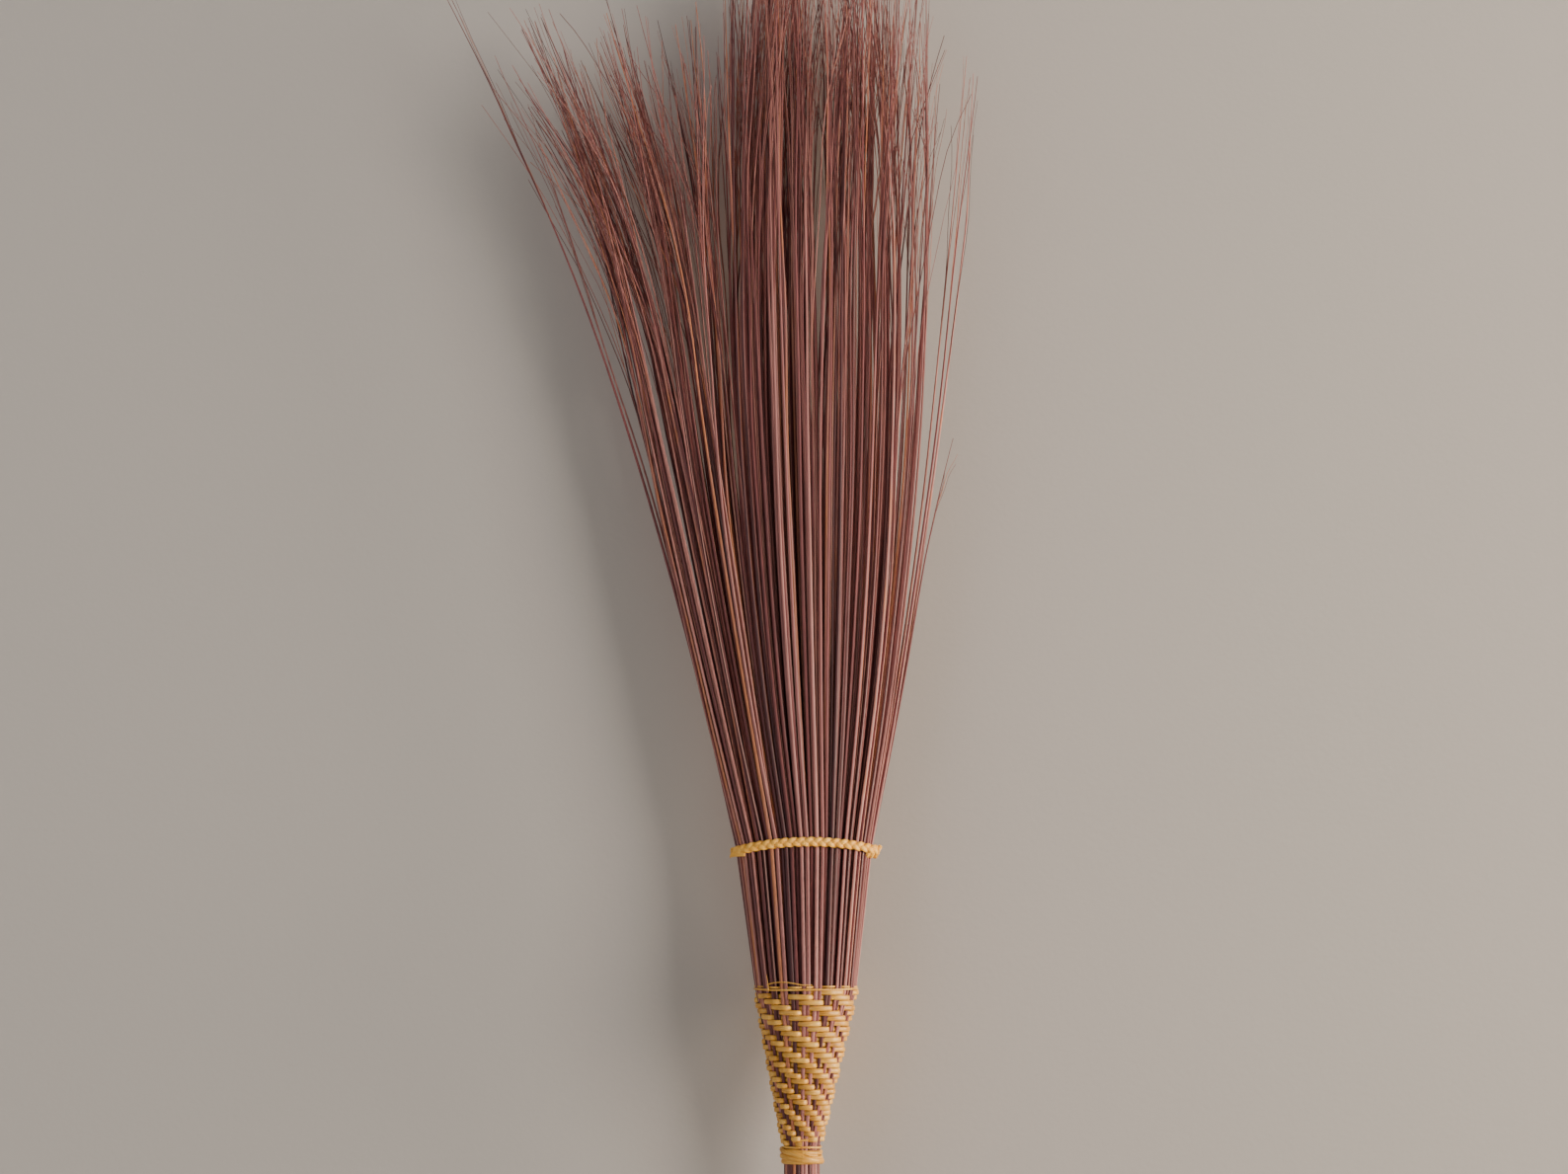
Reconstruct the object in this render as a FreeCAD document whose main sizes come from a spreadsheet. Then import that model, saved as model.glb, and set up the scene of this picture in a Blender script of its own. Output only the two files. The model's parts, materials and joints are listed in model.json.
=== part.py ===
import FreeCAD, Part
import math
import os
import random

# A palm-rib hand broom, in millimetres.
# The origin is the centre of the handle's butt face. +Z runs along the broom from the butt to the
# rib tips, X lies across the flat fan, and the front of the fan faces -Y.
# Every rib is the stiff midrib of a palm leaflet. The long ribs run the whole length, packed in
# rings in the handle. The short ribs begin inside the woven cone, where the bundle opens out.

doc = FreeCAD.newDocument("palm_rib_broom")
sheet = doc.addObject("Spreadsheet::Sheet", "Dimensions")

DIMENSIONS = {
    # levels along the broom
    "neck_level": 155,
    "cone_top_level": 258,
    "tie_level": 354,
    "cone_top_shift": 3,
    "tie_shift": 2,
    "middle_level": 659,
    "high_level": 900,
    # the bundle of ribs
    "rib_width": 2.6,
    "rib_thickness": 2.1,
    "handle_rib_width": 2.45,
    "tip_width": 0.5,
    "handle_ring_radius": 11.1,
    "cone_ring_radius": 33.6,
    "tie_half_width": 46.5,
    "tie_half_depth": 18,
    "middle_half_depth": 22,
    "high_half_depth": 27,
    "groups": 27,
    # woven cone
    "weft_rows": 30,
    "weft_width": 3.1,
    "weft_thickness": 0.9,
    "weft_gap": 0.1,
    "lashing_thickness": 1.3,
    "lashing_height": 2.2,
    "lashing_rise": 0.3,
    # bindings
    "collar_bottom": 143.5,
    "collar_height": 7.5,
    "collar_radius": 14.4,
    "collar_strand_level": 152.5,
    "butt_binding_level": 14,
    "butt_binding_height": 14,
    "butt_binding_radius": 13.9,
    "strand_radius": 1.1,
    "tie_cord_height": 6.2,
    "tie_cord_depth": 3.6,
    "tie_cord_gap": 1.6,
    "tie_arch": 16,
    "tie_end_drop": 3,
    "knot_reach": 3.4,
    "knot_radius": 4.4,
    "knot_half_height": 3.5,
}

# The fan is parted into tufts, from left to right. For each: how many ribs, the middle of the tuft
# across the fan at the middle and high levels, its half width at those levels, the lowest and
# highest tips, how far the tips curl sideways, how many clumps its ribs gather in, and how far they
# are drawn to the middle of their clump at the high level: 0 is evenly spread, 1 is one point.
TUFT_FIELDS = ("count", "middle_x", "high_x", "middle_half", "high_half", "tip_low", "tip_high", "curl",
               "clumps", "gather")
TUFTS = {
    "far_left_wisps": (2, -126, -212, 3, 6, 930, 1010, -14, 1, 0),
    "left_edge_rib": (1, -117, -181, 0, 0, 905, 905, -4, 1, 0),
    "left_outer_tuft": (40, -101, -153, 17, 12, 860, 1000, -34, 2, 0.6),
    "left_inner_tuft": (34, -75, -107, 13, 9, 860, 990, -24, 2, 0.5),
    "narrow_tuft": (17, -57, -71, 7, 4, 890, 990, -14, 1, 0.2),
    "gap_edge_rib": (1, -48, -63, 0, 0, 925, 925, -3, 1, 0),
    "centre_tuft": (106, -18, -21, 30, 30, 940, 1080, 0, 3, 0.15),
    "right_tuft": (84, 40, 42, 29, 24, 920, 1075, 6, 2, 0.2),
    "right_edge_ribs": (18, 77, 84, 12, 15, 880, 1060, 4, 3, 0.5),
    "right_wisps": (3, 99, 122, 5, 9, 900, 950, 3, 1, 0),
    "right_short_rib": (1, 106, 140, 0, 0, 650, 650, 0, 1, 0),
}
# These tufts are thick enough to be told apart front from back, and long ribs from short.
PARTED_TUFTS = ("left_outer_tuft", "left_inner_tuft", "centre_tuft", "right_tuft")


def write_sheet():
    """Write every driving dimension as a named cell, and every tuft's values after them."""
    cells = dict(DIMENSIONS)
    for tuft, values in TUFTS.items():
        cells.update({f"{tuft}_{field}": value for field, value in zip(TUFT_FIELDS, values)})
    for row, (alias, value) in enumerate(cells.items(), start=1):
        sheet.set(f"A{row}", alias)
        sheet.set(f"B{row}", str(value))
        sheet.setAlias(f"B{row}", alias)
    doc.recompute()


write_sheet()


def size(alias):
    """The plain number in a named cell."""
    return float(sheet.get(alias))


def bind(feature, **expressions):
    """Bind properties of a feature to expressions on the sheet's cells."""
    for name, expression in expressions.items():
        for alias in sorted(DIMENSIONS, key=len, reverse=True):
            expression = expression.replace(f"<{alias}>", f"Dimensions.{alias}")
        feature.setExpression(name.replace("__", "."), expression)


# ---------------------------------------------------------------- rib layout

NECK = size("neck_level")
CONE_TOP = size("cone_top_level")
TIE = size("tie_level")
MIDDLE = size("middle_level")
HIGH = size("high_level")
GROUPS = int(size("groups"))
# Inside the cone: a ring's radius and count at the cone's top, and in the handle.
INNER_RINGS = (
    (29.9, 50, 8.5, 20),
    (26.6, 45, 0, 0),
    (23.3, 39, 5.9, 14),
    (20.0, 34, 0, 0),
    (16.7, 28, 3.3, 8),
    (13.4, 23, 0, 0),
    (10.1, 17, 0, 1),
    (6.8, 11, 0, 0),
    (3.5, 6, 0, 0),
)
# Each outer pair stands this far either side of its group's middle, and its short rib begins here.
PAIR_SPREAD = 1.45
PARTNER_START = 216
PARTNER_STAGGER = 5
PARTNER_DEPTH = 4.3
# The short ribs inside begin here. In the handle's plan their lines would meet nearer the middle.
FILLER_START = 226
FILLER_STAGGER = 5
FILLER_INSET = 0.34
TIE_SPACING = 2.62
# How much of each tuft's gathering shows at each level.
GATHERING = {"middle": 0.35, "high": 1}
DEPTH_SCATTER = {"middle": 1, "high": 3}
TIP_BIAS = 0.7
CURL_RANGE = (0.3, 1.3)
CURL_START = 0.62
TAPER_POWER = 1.3
FAN_STEPS = 6


def polar(radius, angle):
    """A point of the plan, with angle 0 at the front (-Y) and turning towards +X."""
    return (radius * math.sin(angle), -radius * math.cos(angle))


def lerp(a, b, t):
    """The point that is the fraction t of the way from a to b."""
    return tuple(p + (q - p) * t for p, q in zip(a, b))


def outer_ribs():
    """The ribs that the weft is woven round: a long one and a short partner in each group."""
    ring = size("cone_ring_radius")
    handle = size("handle_ring_radius")
    ribs = []
    for group in range(GROUPS):
        angle = 2 * math.pi * group / GROUPS
        spread = PAIR_SPREAD / ring
        top, partner_top = (polar(ring, angle + side * spread) for side in (-1, 1))
        ribs.append({"handle": polar(handle, angle), "top": top, "start": 0})
        begin = PARTNER_START + PARTNER_STAGGER * (group % 3)
        ribs.append({"handle": polar(handle - PARTNER_DEPTH, angle), "top": partner_top, "start": begin})
    return ribs


def inner_ribs():
    """The ribs inside the cone, ring by ring. Those that the handle has room for are long."""
    ribs = []
    for ring, (radius, count, handle_radius, handle_count) in enumerate(INNER_RINGS):
        for i in range(count):
            angle = 2 * math.pi * (i + 0.5 * (ring % 2)) / count
            slot = i * handle_count // count
            is_long = handle_count and slot != (i - 1) * handle_count // count
            start = 0 if is_long else FILLER_START + FILLER_STAGGER * (i % 5)
            handle_angle = 2 * math.pi * slot / handle_count if is_long else angle
            spot = polar(handle_radius if is_long else radius * FILLER_INSET, handle_angle)
            ribs.append({"handle": spot, "top": polar(radius, angle), "start": start})
    return ribs


def keep_apart(points, spacing, half_x, half_y, rounds=60):
    """Push points of a plan apart until they are a spacing apart, inside an ellipse."""
    points = [list(p) for p in points]
    for _ in range(rounds):
        for i, a in enumerate(points):
            for b in points[i + 1:]:
                dx = b[0] - a[0]
                dy = b[1] - a[1]
                gap = math.hypot(dx, dy)
                if 0 < gap < spacing:
                    push = 0.5 * (spacing - gap) / gap
                    a[0] -= dx * push
                    a[1] -= dy * push
                    b[0] += dx * push
                    b[1] += dy * push
        for p in points:
            reach = math.hypot(p[0] / half_x, p[1] / half_y)
            if reach > 1:
                p[0] /= reach
                p[1] /= reach
    return [tuple(p) for p in points]


def quadratic(z, at_tie, at_middle, at_high):
    """A smooth bend through three values, at the tie, the middle and the high level."""
    t = (z - TIE) / (HIGH - TIE)
    m = (MIDDLE - TIE) / (HIGH - TIE)
    bend = (at_middle - at_tie - m * (at_high - at_tie)) / (m * m - m)
    return at_tie + (at_high - at_tie - bend) * t + bend * t * t


def lay_out_ribs():
    """Give every rib its tuft, its way through the handle, cone and tie, and its tip."""
    ribs = outer_ribs() + inner_ribs()
    half_x = size("tie_half_width")
    half_y = size("tie_half_depth")
    ring = size("cone_ring_radius")
    flat = [(r["top"][0] * half_x / ring, r["top"][1] * half_y / ring) for r in ribs]
    for rib, spot in zip(ribs, keep_apart(flat, TIE_SPACING, half_x, half_y)):
        rib["tie"] = (spot[0] + size("tie_shift"), spot[1])
        rib["facing"] = math.degrees(math.atan2(rib["top"][0], -rib["top"][1]))
        rib["top"] = (rib["top"][0] + size("cone_top_shift"), rib["top"][1])
    chance = random.Random(11)
    left = sorted(ribs, key=lambda r: r["tie"][0])
    for tuft in TUFTS:
        count = int(size(f"{tuft}_count"))
        clumps = int(size(f"{tuft}_clumps"))
        members = left[:count]
        left = left[count:]
        for rank, rib in enumerate(members):
            clump = math.floor((rank + 0.5) / count * clumps)
            places = {"own": 2 * (rank + 0.5) / count - 1, "clump": 2 * (clump + 0.5) / clumps - 1}
            depth = rib["tie"][1] / half_y
            rib["tuft"] = tuft
            for level, share in GATHERING.items():
                pull = share * size(f"{tuft}_gather")
                place = places["own"] + pull * (places["clump"] - places["own"])
                x = size(f"{tuft}_{level}_x") + place * size(f"{tuft}_{level}_half")
                scatter = DEPTH_SCATTER[level]
                y = depth * size(f"{level}_half_depth") + chance.uniform(-scatter, scatter)
                rib[level] = (x, y)
            low = size(f"{tuft}_tip_low")
            rib["tip"] = low + (size(f"{tuft}_tip_high") - low) * chance.random() ** TIP_BIAS
            rib["curl"] = size(f"{tuft}_curl") * chance.uniform(*CURL_RANGE)
    return ribs


def rib_centre(rib, z):
    """The centre of a rib's section at one level."""
    if z <= NECK:
        return rib["handle"]
    if z <= CONE_TOP:
        return lerp(rib["handle"], rib["top"], (z - NECK) / (CONE_TOP - NECK))
    if z <= TIE:
        return lerp(rib["top"], rib["tie"], (z - CONE_TOP) / (TIE - CONE_TOP))
    x, y = (quadratic(z, rib["tie"][k], rib["middle"][k], rib["high"][k]) for k in (0, 1))
    curl_from = TIE + CURL_START * (rib["tip"] - TIE)
    if z > curl_from:
        x += rib["curl"] * ((z - curl_from) / (rib["tip"] - curl_from)) ** 2
    return (x, y)


def rib_section(rib, z):
    """A rib's width and thickness at one level: even up to the tie, then tapering to the tip."""
    width = size("rib_width")
    thick = size("rib_thickness")
    narrow = size("handle_rib_width")
    if rib["start"] == 0 and z < CONE_TOP:
        t = max(0, (z - NECK) / (CONE_TOP - NECK))
        return (narrow + (width - narrow) * t, thick)
    t = max(0, (z - TIE) / (rib["tip"] - TIE))
    shrink = 1 - (1 - size("tip_width") / width) * t ** TAPER_POWER
    return (width * shrink, thick * shrink)


def rib_levels(rib):
    """The levels where a rib's section is drawn: its butt, its bends, and even steps up the fan."""
    levels = [rib["start"]] + [z for z in (NECK, CONE_TOP, TIE) if z > rib["start"]]
    return levels + [TIE + (rib["tip"] - TIE) * k / FAN_STEPS for k in range(1, FAN_STEPS + 1)]


def rib_solid(rib):
    """One rib: straight stretches between oval sections whose wide side faces out of the cone."""
    sections = []
    turn = FreeCAD.Rotation(FreeCAD.Vector(0, 0, 1), rib["facing"])
    for z in rib_levels(rib):
        width, thick = rib_section(rib, z)
        oval = Part.Ellipse(FreeCAD.Vector(0, 0, 0), 0.5 * width, 0.5 * thick).toShape()
        oval.Placement = FreeCAD.Placement(FreeCAD.Vector(*rib_centre(rib, z), z), turn)
        sections.append(Part.Wire([oval]))
    return Part.makeLoft(sections, True, True)


parts = []


def rib_node(name, ribs):
    """A group of ribs as one named sub-part of separate solids."""
    feature = doc.addObject("Part::Feature", name)
    feature.Label = name
    feature.Shape = Part.makeCompound([rib_solid(rib) for rib in ribs])
    parts.append(feature)


def add_ribs():
    """All the ribs, by tuft."""
    ribs = lay_out_ribs()
    for tuft in TUFTS:
        members = [rib for rib in ribs if rib["tuft"] == tuft]
        if tuft not in PARTED_TUFTS:
            rib_node(tuft, members)
            continue
        for side, is_front in (("front", True), ("back", False)):
            for kind, is_long in (("long", True), ("short", False)):
                group = [
                    rib for rib in members
                    if (rib["tie"][1] < 0) == is_front and (rib["start"] == 0) == is_long
                ]
                if group:
                    rib_node(f"{tuft}_{side}_{kind}_ribs", group)


# ---------------------------------------------------------------- woven cone and bindings


def tube(name, bottom, height, outer_low, outer_high, wall, shift="0"):
    """A tapered tube made as a cone less its hollow. Each value is an expression on the sheet."""
    outer = doc.addObject("Part::Cone", f"{name}_outside")
    bind(outer, Radius1=outer_low, Radius2=outer_high)
    inner = doc.addObject("Part::Cone", f"{name}_hollow")
    bind(inner, Radius1=f"{outer_low} - {wall}", Radius2=f"{outer_high} - {wall}")
    for cone in (outer, inner):
        bind(cone, Height=height, Placement__Base__z=bottom, Placement__Base__x=shift)
    ring = doc.addObject("Part::Cut", name)
    ring.Base = outer
    ring.Tool = inner
    ring.Label = name
    return ring


def add_woven_cone():
    """The weft: one flat strand going round and round the ribs, here as one band to each row."""
    rows = []
    slope = "((<cone_ring_radius> - <handle_ring_radius>) / (<cone_top_level> - <neck_level>))"
    pitch = "((<cone_top_level> - <neck_level> - <weft_width>) / (<weft_rows> - 1))"
    face = "(<handle_ring_radius> + <rib_width> / 2 + <weft_gap> + <weft_thickness>)"
    for i in range(int(size("weft_rows"))):
        low = f"{face} + {slope} * {i} * {pitch}"
        high = f"{low} + {slope} * <weft_width>"
        rows.append(tube(
            f"weft_row_{i + 1}", f"<neck_level> + {i} * {pitch}", "<weft_width>", low, high,
            "<weft_thickness>", f"<cone_top_shift> * {i} / (<weft_rows> - 1)",
        ))
    weft = doc.addObject("Part::Compound", "woven_cone_weft")
    weft.Links = rows
    weft.Label = "woven_cone_weft"
    parts.append(weft)


def add_band(name, bottom, height, outer, inner, shift="0"):
    """A plain band round the bundle."""
    parts.append(tube(name, bottom, height, outer, outer, f"({outer} - ({inner}))", shift))


def add_strand_ring(name, level, radius):
    """One turn of round strand about the handle."""
    ring = doc.addObject("Part::Torus", name)
    bind(ring, Radius1=radius, Radius2="<strand_radius>", Placement__Base__z=level)
    ring.Label = name
    parts.append(ring)


def add_collar():
    """The collar between handle and cone: a wrapped band with a finer strand above it."""
    bundle = "<handle_ring_radius> + <handle_rib_width> / 2 + <weft_gap>"
    add_band("lower_collar_wrap", "<collar_bottom>", "<collar_height>", "<collar_radius>", bundle)
    add_strand_ring("lower_collar_top_strand", "<collar_strand_level>", f"{bundle} + <strand_radius>")
    add_band("butt_binding", "<butt_binding_level>", "<butt_binding_height>", "<butt_binding_radius>", bundle)


def add_cone_trim():
    """The lashing that closes the weave's top edge."""
    face = "<cone_ring_radius> + <rib_width> / 2 + <weft_gap>"
    add_band("cone_top_lashing", "<cone_top_level> + <lashing_rise>", "<lashing_height>",
             f"{face} + <lashing_thickness>", face, "<cone_top_shift>")


def cord_half(name, side):
    """Half of the plaited tie: an oval cord along half an ellipse, leaning up to its middle."""
    path = doc.addObject("Part::Ellipse", f"{name}_path")
    reach = "<tie_half_width> + <tie_cord_depth> / 2 + <tie_cord_gap>"
    bind(path, MajorRadius=reach, MinorRadius="<tie_half_depth> + <tie_cord_depth> / 2 + <tie_cord_gap>")
    path.Angle1 = 180 if side < 0 else 0
    path.Angle2 = 360 if side < 0 else 180
    section = doc.addObject("Part::Ellipse", f"{name}_section")
    bind(section, MajorRadius="<tie_cord_height> / 2", MinorRadius="<tie_cord_depth> / 2",
         Placement__Base__x=reach)
    section.Placement.Rotation = FreeCAD.Rotation(
        FreeCAD.Vector(0, 0, 1), FreeCAD.Vector(1, 0, 0), FreeCAD.Vector(0, 1, 0), "ZXY"
    )
    sweep = doc.addObject("Part::Sweep", name)
    sweep.Sections = [section]
    sweep.Spine = (path, ["Edge1"])
    sweep.Solid = True
    sweep.Frenet = False
    lean = "<tie_arch>" if side > 0 else "-<tie_arch>"
    holder = doc.addObject("Part::Compound", f"{name}_placed")
    holder.Links = [sweep]
    holder.Placement.Rotation = FreeCAD.Rotation(FreeCAD.Vector(1, 0, 0), 1)
    bind(holder, Placement__Rotation__Angle=lean, Placement__Base__z="<tie_level> - <tie_end_drop>",
         Placement__Base__x="<tie_shift>")
    return holder


def add_tie():
    """The plaited tie that holds the fan flat, knotted at its right end."""
    halves = [cord_half("tie_front", -1), cord_half("tie_back", 1)]
    knot = doc.addObject("Part::Ellipsoid", "tie_knot")
    bind(knot, Radius1="<knot_radius>", Radius2="<knot_radius>", Radius3="<knot_half_height>",
         Placement__Base__z="<tie_level> - <tie_end_drop>",
         Placement__Base__x="<tie_shift> + <tie_half_width> + <knot_reach>")
    tie = doc.addObject("Part::MultiFuse", "plaited_tie")
    tie.Shapes = [*halves, knot]
    tie.Label = "plaited_tie"
    parts.append(tie)


def write_parts():
    """Check every object and every sub-part, then write each sub-part's file."""
    doc.recompute()
    for item in doc.Objects:
        if "Invalid" in item.State or "Error" in item.State:
            raise RuntimeError(f"{item.Label} did not build: {item.State}")
    os.makedirs("parts", exist_ok=True)
    for part in parts:
        if part.Shape.isNull() or not part.Shape.isValid():
            raise RuntimeError(f"{part.Label} is not a valid solid")
        part.Shape.exportStep(f"parts/{part.Label}.step")
        print(f"{part.Label}: {len(part.Shape.Solids)} solids, {part.Shape.Volume / 1000:.2f} cm3")


add_ribs()
add_woven_cone()
add_cone_trim()
add_collar()
add_tie()
write_parts()
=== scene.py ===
import json
import math
import random

import bmesh
import bpy
from bpy.props import FloatProperty, FloatVectorProperty, IntProperty, PointerProperty
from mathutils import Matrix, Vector


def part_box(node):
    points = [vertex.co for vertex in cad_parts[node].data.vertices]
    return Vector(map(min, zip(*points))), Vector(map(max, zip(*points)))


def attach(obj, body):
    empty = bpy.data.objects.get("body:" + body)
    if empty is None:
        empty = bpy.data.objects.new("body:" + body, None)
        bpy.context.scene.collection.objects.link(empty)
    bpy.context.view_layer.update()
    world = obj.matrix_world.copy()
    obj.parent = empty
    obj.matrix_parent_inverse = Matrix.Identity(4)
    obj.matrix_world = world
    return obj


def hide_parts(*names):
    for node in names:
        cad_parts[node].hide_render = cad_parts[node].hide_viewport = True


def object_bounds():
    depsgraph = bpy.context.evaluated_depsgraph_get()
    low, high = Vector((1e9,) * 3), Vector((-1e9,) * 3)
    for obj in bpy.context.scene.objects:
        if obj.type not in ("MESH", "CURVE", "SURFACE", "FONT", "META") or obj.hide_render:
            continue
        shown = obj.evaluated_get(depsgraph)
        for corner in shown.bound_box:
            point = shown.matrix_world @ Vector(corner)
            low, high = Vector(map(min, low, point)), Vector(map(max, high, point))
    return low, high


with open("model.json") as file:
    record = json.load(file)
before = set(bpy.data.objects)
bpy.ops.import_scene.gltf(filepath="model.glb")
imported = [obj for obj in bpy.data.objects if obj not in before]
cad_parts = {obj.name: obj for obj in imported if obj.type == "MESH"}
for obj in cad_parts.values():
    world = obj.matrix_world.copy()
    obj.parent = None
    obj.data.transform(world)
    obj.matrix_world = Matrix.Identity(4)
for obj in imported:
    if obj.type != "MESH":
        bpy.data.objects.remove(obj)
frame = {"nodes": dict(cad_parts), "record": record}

# A hand broom of palm ribs. The ribs' centre lines, the cone's taper and every level come from the
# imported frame, so each strand lies where the solid it replaces lies. Sizes are in metres.

bl_info = {
    "name": "Palm Rib Broom",
    "version": (1, 0, 0),
    "blender": (4, 5, 0),
    "location": "View3D > Sidebar > Broom",
    "description": "Ribs, woven cane cone, collar and plaited tie of a palm-rib hand broom",
    "category": "Add Mesh",
}

CAD_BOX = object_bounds()
MM = 0.001
TAU = 2 * math.pi


def linear(hex_colour):
    """An sRGB hex colour as the linear RGBA that shaders take."""
    parts = [int(hex_colour[i:i + 2], 16) / 255 for i in (1, 3, 5)]
    return (*[c / 12.92 if c <= 0.04045 else ((c + 0.055) / 1.055) ** 2.4 for c in parts], 1.0)


# ------------------------------------------------------------------ what the frame says

RIB_SLOTS = ("palm_rib", "bright_rib")
SLOT_OF = {s["node"]: s["material_slot"] for s in frame["record"]["subparts"]}
RIB_NODES = sorted(n for n in frame["nodes"] if SLOT_OF[n] in RIB_SLOTS)
# A ring of fewer points than this is not a section of a rib.
FEWEST_POINTS = 6
# The long ribs of the handle's outer ring stand further out than this share of the outermost one.
OUTER_SHARE = 0.95


def read_ribs(node):
    """Each rib of a node as its sections from butt to tip.

    A section is its centre, half its width, the direction of its wide side and half its thickness."""
    bm = bmesh.new()
    bm.from_mesh(frame["nodes"][node].data)
    bmesh.ops.remove_doubles(bm, verts=bm.verts, dist=1e-6)
    ribs = []
    left = set(bm.verts)
    while left:
        shell = []
        edge = [left.pop()]
        while edge:
            vert = edge.pop()
            shell.append(vert.co.copy())
            for joining in vert.link_edges:
                other = joining.other_vert(vert)
                if other in left:
                    left.remove(other)
                    edge.append(other)
        levels = {}
        for co in shell:
            levels.setdefault(round(co.z, 4), []).append(co)
        sections = []
        for z in sorted(levels):
            ring = levels[z]
            if len(ring) < FEWEST_POINTS:
                continue
            centre = sum(ring, Vector()) / len(ring)
            far = max(ring, key=lambda co: (co - centre).length) - centre
            near = min((co - centre).length for co in ring)
            sections.append((centre, far.length, far.normalized(), near))
        ribs.append(sections)
    bm.free()
    return sorted(ribs, key=lambda sections: (sections[0][0].x, sections[0][0].y))


RIBS = {node: read_ribs(node) for node in RIB_NODES}


def levels_of(node):
    """The bottom and top levels of a CAD node."""
    return tuple(corner.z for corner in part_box(node))


LONG_RIBS = [rib for node in RIB_NODES for rib in RIBS[node] if rib[0][0].z < 1 * MM]
BUTT, NECK, CONE_TOP, TIE = (LONG_RIBS[0][i][0].z for i in range(4))
HANDLE_REACH = max(rib[1][0].xy.length for rib in LONG_RIBS)
OUTER_RIBS = [rib for rib in LONG_RIBS if rib[1][0].xy.length > OUTER_SHARE * HANDLE_REACH]
GROUPS = len(OUTER_RIBS)
CONE_CENTRE = sum((rib[2][0] for rib in OUTER_RIBS), Vector()) / GROUPS
CONE_REACH = sum((rib[2][0] - CONE_CENTRE).length for rib in OUTER_RIBS) / GROUPS
RIB_THICKNESS = 2 * OUTER_RIBS[0][2][3]


def cone_axis(z):
    """The middle of the ring of ribs at one level, which leans a little to one side."""
    t = (z - NECK) / (CONE_TOP - NECK)
    return Vector((CONE_CENTRE.x * t, CONE_CENTRE.y * t, z))


def cone_radius(z):
    """The radius of the ring that the outer ribs stand on, at one level."""
    t = max(0.0, (z - NECK) / (CONE_TOP - NECK))
    return HANDLE_REACH + (CONE_REACH - HANDLE_REACH) * t


def around(z, angle, radius):
    """A point round the broom's axis. Angle 0 is the front and turns towards +X."""
    middle = cone_axis(max(z, NECK))
    return Vector((middle.x + radius * math.sin(angle), middle.y - radius * math.cos(angle), z))


# ------------------------------------------------------------------ sizes and colours


class BroomSizes(bpy.types.PropertyGroup):
    """The sizes of the strands, and how far they wander"""

    rib_wave: FloatProperty(
        name="Rib wave", description="How far a rib's tip wanders from its smooth line",
        default=2.0 * MM, min=0, unit="LENGTH")
    tip_drift: FloatProperty(
        name="Tip drift", description="How far the whippy tips lean out of their tuft",
        default=13 * MM, min=0, unit="LENGTH")
    fray: FloatProperty(
        name="Fray", description="How far the loose fibres at the tips stand off their rib",
        default=9 * MM, min=0, unit="LENGTH")
    fibres: IntProperty(
        name="Fibres", description="Loose fibres along the upper part of each rib",
        default=3, min=0)
    weft_width: FloatProperty(
        name="Weft width", description="Width of the split cane woven round the cone",
        default=3.4 * MM, min=0, unit="LENGTH")
    weft_thickness: FloatProperty(
        name="Weft thickness", description="Thickness of the split cane",
        default=1.5 * MM, min=0, unit="LENGTH")
    weft_bulge: FloatProperty(
        name="Weft bulge", description="How far each float stands proud near its right end",
        default=0.8 * MM, min=0, unit="LENGTH")
    weft_rows: IntProperty(
        name="Weft rows", description="Turns of the weft from the neck to the cone's top edge",
        default=29, min=1)
    tie_stitch: FloatProperty(
        name="Tie stitch", description="Length of one stitch of the three-strand plait",
        default=6.2 * MM, min=0, unit="LENGTH")
    tie_strand: FloatProperty(
        name="Tie strand", description="Width of one strand of the plait",
        default=3.6 * MM, min=0, unit="LENGTH")
    binding_strand: FloatProperty(
        name="Binding strand", description="Width of the strand that binds the handle",
        default=3.4 * MM, min=0, unit="LENGTH")


def colour_property(name, words, hex_colour):
    """A colour that the user can change, with its default as an sRGB hex value."""
    return FloatVectorProperty(name=name, description=words, subtype="COLOR", size=4, min=0, max=1,
                               default=linear(hex_colour))


class BroomColours(bpy.types.PropertyGroup):
    """The colours of the ribs, the cane, the tie and the stage"""

    rib_dark: colour_property("Rib dark", "The darkest ribs, purple-brown", "#481d22")
    rib_middle: colour_property("Rib middle", "Most ribs, red-brown", "#884b4b")
    rib_light: colour_property("Rib light", "The palest ribs, dusty red-brown", "#b87c76")
    rib_orange: colour_property("Rib orange", "The brightest ribs, orange-brown", "#c27a54")
    # The pale line along a rib is partly the rib's own paler ridge and partly a painted highlight, a fixed
    # light line where a lamp would glint.
    rib_keel_highlight: colour_property("Rib keel", "The smooth pale keel along a rib, pinkish tan", "#e4ae9a")
    cane_dark: colour_property("Cane dark", "Fibre lines and creases in the cane", "#85591c")
    cane_gold: colour_property("Cane gold", "The cane's main colour", "#dda038")
    cane_pale: colour_property("Cane pale", "Worn high spots of the cane", "#fdd06a")
    cord_gold: colour_property("Cord gold", "The plaited tie's main colour", "#ffb93c")
    wall: colour_property("Wall", "The plain wall behind the broom", "#b8b5b0")
    floor: colour_property("Floor", "The plain pale floor", "#d6d3cc")


# ------------------------------------------------------------------ materials


def add_node(material, kind, settings=None, sockets=None):
    """Add one node: settings are its own properties, and sockets take a value or another's output."""
    made = material.node_tree.nodes.new(kind)
    for key, value in (settings or {}).items():
        setattr(made, key, value)
    for key, value in (sockets or {}).items():
        if isinstance(value, bpy.types.NodeSocket):
            material.node_tree.links.new(value, made.inputs[key])
        else:
            made.inputs[key].default_value = value
    return made


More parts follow.
